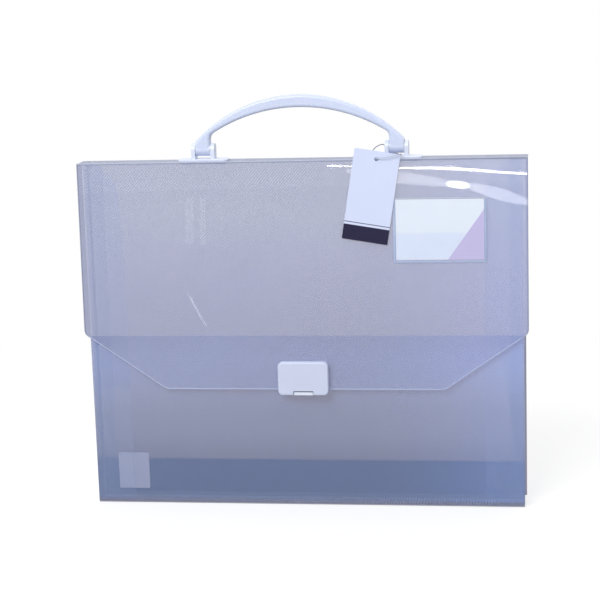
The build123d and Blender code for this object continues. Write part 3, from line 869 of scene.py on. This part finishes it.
class CASE_OT_papers(bpy.types.Operator):
    """Dress the card pocket, the name card, the swing tag and the blank label"""

    bl_idname = "case.papers"
    bl_label = "Pocket and Papers"

    def execute(self, context):
        sheet = context.scene.case_sheet
        paper = context.scene.case_paper
        film = sheet_material(
            "pocket_film_clear",
            paper.film_colour,
            sheet,
            opacity=0.09,
            roughness=0.1,
            coat=0.3,
            line_depth=0.0,
        )
        dress("card_pocket", film)
        self.make_weld(sheet, paper)
        dress("name_card", self.card_material(paper))
        dress("swing_tag", self.tag_material(sheet, paper))
        label = paper_material("label_paper_plain", paper.label_colour)
        # Painted glow: the blank label gives off a little light of its own to lift it out of the shade of the
        # sheets in front of it
        shader = label.node_tree.nodes["Principled BSDF"]
        shader.inputs["Emission Color"].default_value = LABEL_PAINTED_GLOW_COLOUR
        shader.inputs["Emission Strength"].default_value = LABEL_PAINTED_GLOW
        dress("price_label", label)
        return {"FINISHED"}

    def make_weld(self, sheet, paper):
        """The pocket's welded rim, on three sides, and the lip of its mouth."""
        x, y = paper.pocket_centre
        wide, high = paper.pocket_width / 2, paper.pocket_height / 2
        corners = [(x - wide, y + high), (x - wide, y - high), (x + wide, y - high), (x + wide, y + high)]
        half = paper.weld_width / 2
        line = rounded_line(corners, WELD_CORNER, half)
        bm = tube_along(line, half, sides=10)
        bmesh.ops.scale(bm, vec=(1.0, 1.0, WELD_FLATNESS), verts=bm.verts)
        lift = flap_frame(sheet, sheet.thickness + paper.pocket_depth - WELD_SINK)
        bmesh.ops.transform(bm, matrix=lift, verts=bm.verts)
        weld = sheet_material(
            "pocket_weld_pale", paper.weld_colour, sheet, opacity=0.5, roughness=0.25, line_depth=0.0
        )
        lip = sheet_material(
            "pocket_lip_pale", paper.lip_colour, sheet, opacity=0.6, roughness=0.25, line_depth=0.0
        )
        piece_from(bm, "pocket_weld", [weld], body="flap")
        mouth = [lift @ Vector((x + side, y + high - LIP_DROP, 0.0)) for side in (-wide, 0.0, wide)]
        bm = tube_along(mouth, LIP_RADIUS, sides=8)
        piece_from(bm, "pocket_mouth", [lip], body="flap")

    def card_material(self, paper):
        """Pale card whose lower right corner is tinted in fine stripes, up to a slanted line."""
        material = paper_material("card_stock_pale", paper.card_colour)
        tree = material.node_tree
        x, y = paper.pocket_centre
        right = x + paper.card_width / 2
        low = y - paper.pocket_height / 2 + paper.weld_width + paper.card_gap
        first = Vector((right, 0.0, BODY_HEIGHT + low + paper.card_height - CORNER_DROP))
        second = Vector((right - CORNER_REACH, 0.0, BODY_HEIGHT + low))
        slant = (first - second).normalized()
        outward = Vector((slant.z, 0.0, -slant.x))
        inside = maths(tree, "GREATER_THAN", self.reach_along(tree, outward), outward.dot(first))
        height = object_axes(tree)["Z"]
        ripple = maths(tree, "SINE", maths(tree, "MULTIPLY", height, math.tau / paper.card_stripe))
        stripe = maths(tree, "GREATER_THAN", ripple, 0.2)
        tint = Vector(paper.card_corner_colour)
        corner = mix_colours(tree, stripe, tint * 0.96, tint * Vector((1.22, 1.08, 1.02)))
        card_low = BODY_HEIGHT + low
        # Painted reflection: the card's upper part is painted lighter for the sheen of the film over it
        upper = smooth_share(tree, height, card_low + CARD_PAINTED_SHEEN_START, card_low + CARD_PAINTED_SHEEN_END)
        paint_over(material, upper, (1.11, 1.09, 1.0), "MULTIPLY")
        paint_over(material, inside, corner)
        return material

    def tag_material(self, sheet, paper):
        """Coated card with a thin line and a plain dark band near its lower edge."""
        material = paper_material("tag_card_pale", paper.tag_colour, roughness=0.3)
        tree = material.node_tree
        tree.nodes["Principled BSDF"].inputs["Specular IOR Level"].default_value = 0.3
        lift = flap_frame(sheet, TAG_STAND_OFF)
        hole = lift @ Vector((*paper.tag_hole, 0.0))
        down = lift.to_3x3() @ Vector((-math.sin(paper.tag_tilt), -math.cos(paper.tag_tilt), 0.0))
        drop = maths(tree, "ADD", self.reach_along(tree, down), paper.tag_hole_drop - down.dot(hole))
        band = maths(tree, "GREATER_THAN", drop, paper.tag_band_drop)
        centre = paper.tag_line_drop + paper.tag_line_width / 2
        line = maths(tree, "COMPARE", drop, centre, paper.tag_line_width / 2)
        paint_over(material, maths(tree, "MAXIMUM", band, line), paper.tag_band_colour)
        return material

    def reach_along(self, tree, way):
        """How far a point lies along a direction."""
        inputs = {0: object_place(tree), 1: way}
        return add_node(tree, "ShaderNodeVectorMath", inputs, operation="DOT_PRODUCT").outputs["Value"]


# Small lamps whose mirror images lie on the flap: name, place, where they face, direction, length, width
# and watts
REFLECTED_LAMPS = (
    (
        "left_tube_lamp", (-0.1436, -2.198, 0.1892), (0.073, -0.015, 0.3467),
        (0.246, -0.014, -0.012), 0.212, 0.0025, 0.086,
    ),
    (
        "middle_tube_lamp", (-0.003, -2.205, 0.184), (0.136, -0.015, 0.345),
        (0.092, -0.003, -0.003), 0.096, 0.0042, 0.065,
    ),
    (
        "bend_tube_lamp", (0.063, -2.207, 0.180), (0.164, -0.015, 0.343),
        (0.067, -0.002, -0.0056), 0.070, 0.0042, 0.048,
    ),
    (
        "right_tube_lamp", (0.145, -2.208, 0.1725), (0.20, -0.015, 0.340),
        (0.114, -0.001, -0.0107), 0.116, 0.0042, 0.08,
    ),
    ("spot_lamp", (0.047, -2.205, 0.146), (0.157, 0.0, 0.328), (0.484, -0.019, -0.060), 0.052, 0.015, 0.082),
    (
        "left_band_lamp", (-0.080, -2.200, 0.164), (0.10, 0.0, 0.336),
        (0.254, -0.011, -0.035), 0.257, 0.026, 0.085,
    ),
    (
        "right_band_lamp", (0.138, -2.206, 0.124), (0.197, -0.015, 0.319),
        (0.127, 0.0, -0.0377), 0.150, 0.026, 0.07,
    ),
    (
        "left_window_lamp", (-0.358, -1.185, 0.175), (-0.1115, 0.0, 0.295),
        (1.0, 0.0, 0.0), 0.014, 0.080, 0.0032,
    ),
    (
        "right_window_lamp", (-0.335, -1.185, 0.175), (-0.098, 0.0, 0.295),
        (1.0, 0.0, 0.0), 0.009, 0.080, 0.0022,
    ),
    ("glint_lamp", (-0.268, -0.792, 0.083), (-0.107, 0.0, 0.205), (0.028, 0.0, -0.053), 0.060, 0.004, 0.0018),
)


class CASE_OT_studio(bpy.types.Operator):
    """Make the camera, the lamps, the pale surroundings and the floor"""

    bl_idname = "case.studio"
    bl_label = "Studio"

    def execute(self, context):
        studio = context.scene.case_studio
        self.make_camera(context, studio)
        self.make_world(context, studio)
        self.make_floor(studio)
        level = (1.0, 0.0, 0.0)
        self.make_lamp("key_lamp", (-0.9, -2.4, 2.3), (0.0, 0.0, 0.2), level, 1.8, 1.4, studio.key_power)
        self.make_lamp("back_lamp", (0.9, 2.4, 2.0), (0.0, 0.0, 0.2), level, 1.8, 1.4, studio.back_power)
        for name, place, target, along, width, height, power in REFLECTED_LAMPS:
            self.make_lamp(name, place, target, along, width, height, power * studio.glow)
        return {"FINISHED"}

    def make_camera(self, context, studio):
        """The photograph's camera, in the model's frame."""
        yaw, pitch, roll = CAMERA_YAW, CAMERA_PITCH, CAMERA_ROLL
        ahead = Vector((-math.sin(yaw) * math.cos(pitch), math.cos(yaw) * math.cos(pitch), math.sin(pitch)))
        right = Vector((math.cos(yaw), math.sin(yaw), 0.0))
        up = right.cross(ahead)
        across = right * math.cos(roll) + up * math.sin(roll)
        upward = up * math.cos(roll) - right * math.sin(roll)
        data = bpy.data.cameras.new("photo_camera")
        data.lens = studio.lens
        data.sensor_width = 36.0
        data.clip_end = 30.0
        camera = bpy.data.objects.new("photo_camera", data)
        turn = Matrix((across, upward, -ahead)).transposed().to_4x4()
        camera.matrix_world = Matrix.Translation(CAMERA_PLACE) @ turn
        bpy.context.collection.objects.link(camera)
        context.scene.camera = camera

    def make_world(self, context, studio):
        """Even pale light, and a white surrounding where the camera looks."""
        world = bpy.data.worlds.new("studio_world")
        world.use_nodes = True
        tree = world.node_tree
        path = add_node(tree, "ShaderNodeLightPath")
        seen = maths(tree, "MAXIMUM", path.outputs["Is Camera Ray"], path.outputs["Is Glossy Ray"])
        seen = maths(tree, "MAXIMUM", seen, path.outputs["Is Transmission Ray"])
        strength = maths(tree, "MULTIPLY_ADD", seen, 1.0 - studio.fill, studio.fill)
        background = tree.nodes["Background"]
        background.inputs["Color"].default_value = (1.0, 1.0, 1.0, 1.0)
        tree.links.new(strength, background.inputs["Strength"])
        context.scene.world = world

    def make_floor(self, studio):
        """A pale floor. Seen through the case it is a darker table that ends behind the case."""
        bm = bmesh.new()
        bmesh.ops.create_circle(bm, cap_ends=True, segments=96, radius=FLOOR_RADIUS)
        material, tree, shader = new_material("studio_floor")
        path = add_node(tree, "ShaderNodeLightPath")
        shader.inputs["Base Color"].default_value = (0.45, 0.45, 0.45, 1.0)
        shader.inputs["Roughness"].default_value = 0.9
        shader.inputs["Specular IOR Level"].default_value = 0.0
        shader.inputs["Emission Color"].default_value = (1.0, 1.0, 1.0, 1.0)
        seen = maths(tree, "MULTIPLY", path.outputs["Is Camera Ray"], FLOOR_GLOW)
        tree.links.new(seen, shader.inputs["Emission Strength"])
        white = add_node(tree, "ShaderNodeEmission", {"Color": (1.0, 1.0, 1.0, 1.0), "Strength": 1.0})
        reach = add_node(tree, "ShaderNodeVectorMath", {0: object_place(tree)}, operation="LENGTH")
        far = smooth_share(tree, reach.outputs["Value"], FLOOR_FADE_START, FLOOR_FADE_END)
        far_seen = maths(tree, "MULTIPLY", far, path.outputs["Is Camera Ray"])
        near_mix = add_node(
            tree,
            "ShaderNodeMixShader",
            {0: far_seen, 1: shader.outputs["BSDF"], 2: white.outputs["Emission"]},
        )
        behind = self.add_behind(tree, path, studio.table_edge)
        through = maths(tree, "GREATER_THAN", path.outputs["Transparent Depth"], 0.5)
        through = maths(tree, "MULTIPLY", through, path.outputs["Is Camera Ray"])
        whole = add_node(tree, "ShaderNodeMixShader", {0: through, 1: near_mix.outputs[0], 2: behind})
        tree.links.new(whole.outputs[0], tree.nodes["Material Output"].inputs["Surface"])
        floor = piece_from(bm, "studio_floor", [material])

    def add_behind(self, tree, path, table_edge):
        """What shows through the sheets: a dim table near the case, then paler surroundings."""
        axes = object_axes(tree)
        aside = maths(tree, "MULTIPLY", maths(tree, "ABSOLUTE", axes["X"]), 0.5)
        away = maths(tree, "MAXIMUM", maths(tree, "ABSOLUTE", axes["Y"]), aside)
        end = BEHIND_SHADES[-1][0]
        ramp = add_node(tree, "ShaderNodeValToRGB", {"Fac": maths(tree, "DIVIDE", away, table_edge * end)})
        stops = ramp.color_ramp.elements
        for stop, (place, shade) in zip(stops, (BEHIND_SHADES[0], BEHIND_SHADES[-1])):
            stop.position = place / end
            stop.color = (*shade, 1.0)
        for place, shade in BEHIND_SHADES[1:-1]:
            stops.new(place / end).color = (*shade, 1.0)
        single = maths(tree, "LESS_THAN", path.outputs["Transparent Depth"], 2.5)
        seen = mix_colours(tree, single, ramp.outputs["Color"], SINGLE_SHEET_SHADE)
        return add_node(tree, "ShaderNodeEmission", {"Color": seen, "Strength": 1.0}).outputs["Emission"]

    def make_lamp(self, name, place, target, along, width, height, power):
        """A lamp that faces a point. Broad, tall and tube lamps are rectangles, the others ellipses."""
        data = bpy.data.lights.new(name, "AREA")
        data.shape = "RECTANGLE" if width > 0.3 or height > width or name.endswith("tube_lamp") else "ELLIPSE"
        data.size = width
        data.size_y = height
        data.energy = power
        back = (Vector(place) - Vector(target)).normalized()
        side = Vector(along)
        side = (side - back * side.dot(back)).normalized()
        turn = Matrix((side, back.cross(side), back)).transposed().to_4x4()
        lamp = bpy.data.objects.new(name, data)
        lamp.matrix_world = Matrix.Translation(place) @ turn
        lamp.visible_camera = False
        bpy.context.collection.objects.link(lamp)


class CASE_PT_panel(bpy.types.Panel):
    bl_label = "Carry Case"
    bl_idname = "CASE_PT_panel"
    bl_space_type = "VIEW_3D"
    bl_region_type = "UI"
    bl_category = "Carry Case"

    def draw(self, context):
        for operator in OPERATORS:
            self.layout.operator(operator.bl_idname)
        for name, _ in SETTINGS:
            settings = getattr(context.scene, name)
            box = self.layout.box()
            for key in settings.__annotations__:
                box.prop(settings, key)


SETTINGS = (
    ("case_sheet", SheetSettings),
    ("case_moulded", MouldedSettings),
    ("case_paper", PaperSettings),
    ("case_studio", StudioSettings),
)
OPERATORS = (
    CASE_OT_studio,
    CASE_OT_string,
    CASE_OT_sheets,
    CASE_OT_edges,
    CASE_OT_moulded,
    CASE_OT_papers,
)


def register():
    for name, settings in SETTINGS:
        bpy.utils.register_class(settings)
        setattr(bpy.types.Scene, name, PointerProperty(type=settings))
    for operator in OPERATORS:
        bpy.utils.register_class(operator)
    bpy.utils.register_class(CASE_PT_panel)


def unregister():
    bpy.utils.unregister_class(CASE_PT_panel)
    for operator in reversed(OPERATORS):
        bpy.utils.unregister_class(operator)
    for name, settings in reversed(SETTINGS):
        delattr(bpy.types.Scene, name)
        bpy.utils.unregister_class(settings)


def main():
    register()
    bpy.context.scene.view_settings.view_transform = "Standard"
    build_emboss_group()
    build_mottle_group()
    bpy.ops.case.studio()
    bpy.ops.case.string()
    bpy.ops.case.sheets()
    bpy.ops.case.edges()
    bpy.ops.case.moulded()
    bpy.ops.case.papers()


if __name__ == "__main__":
    main()
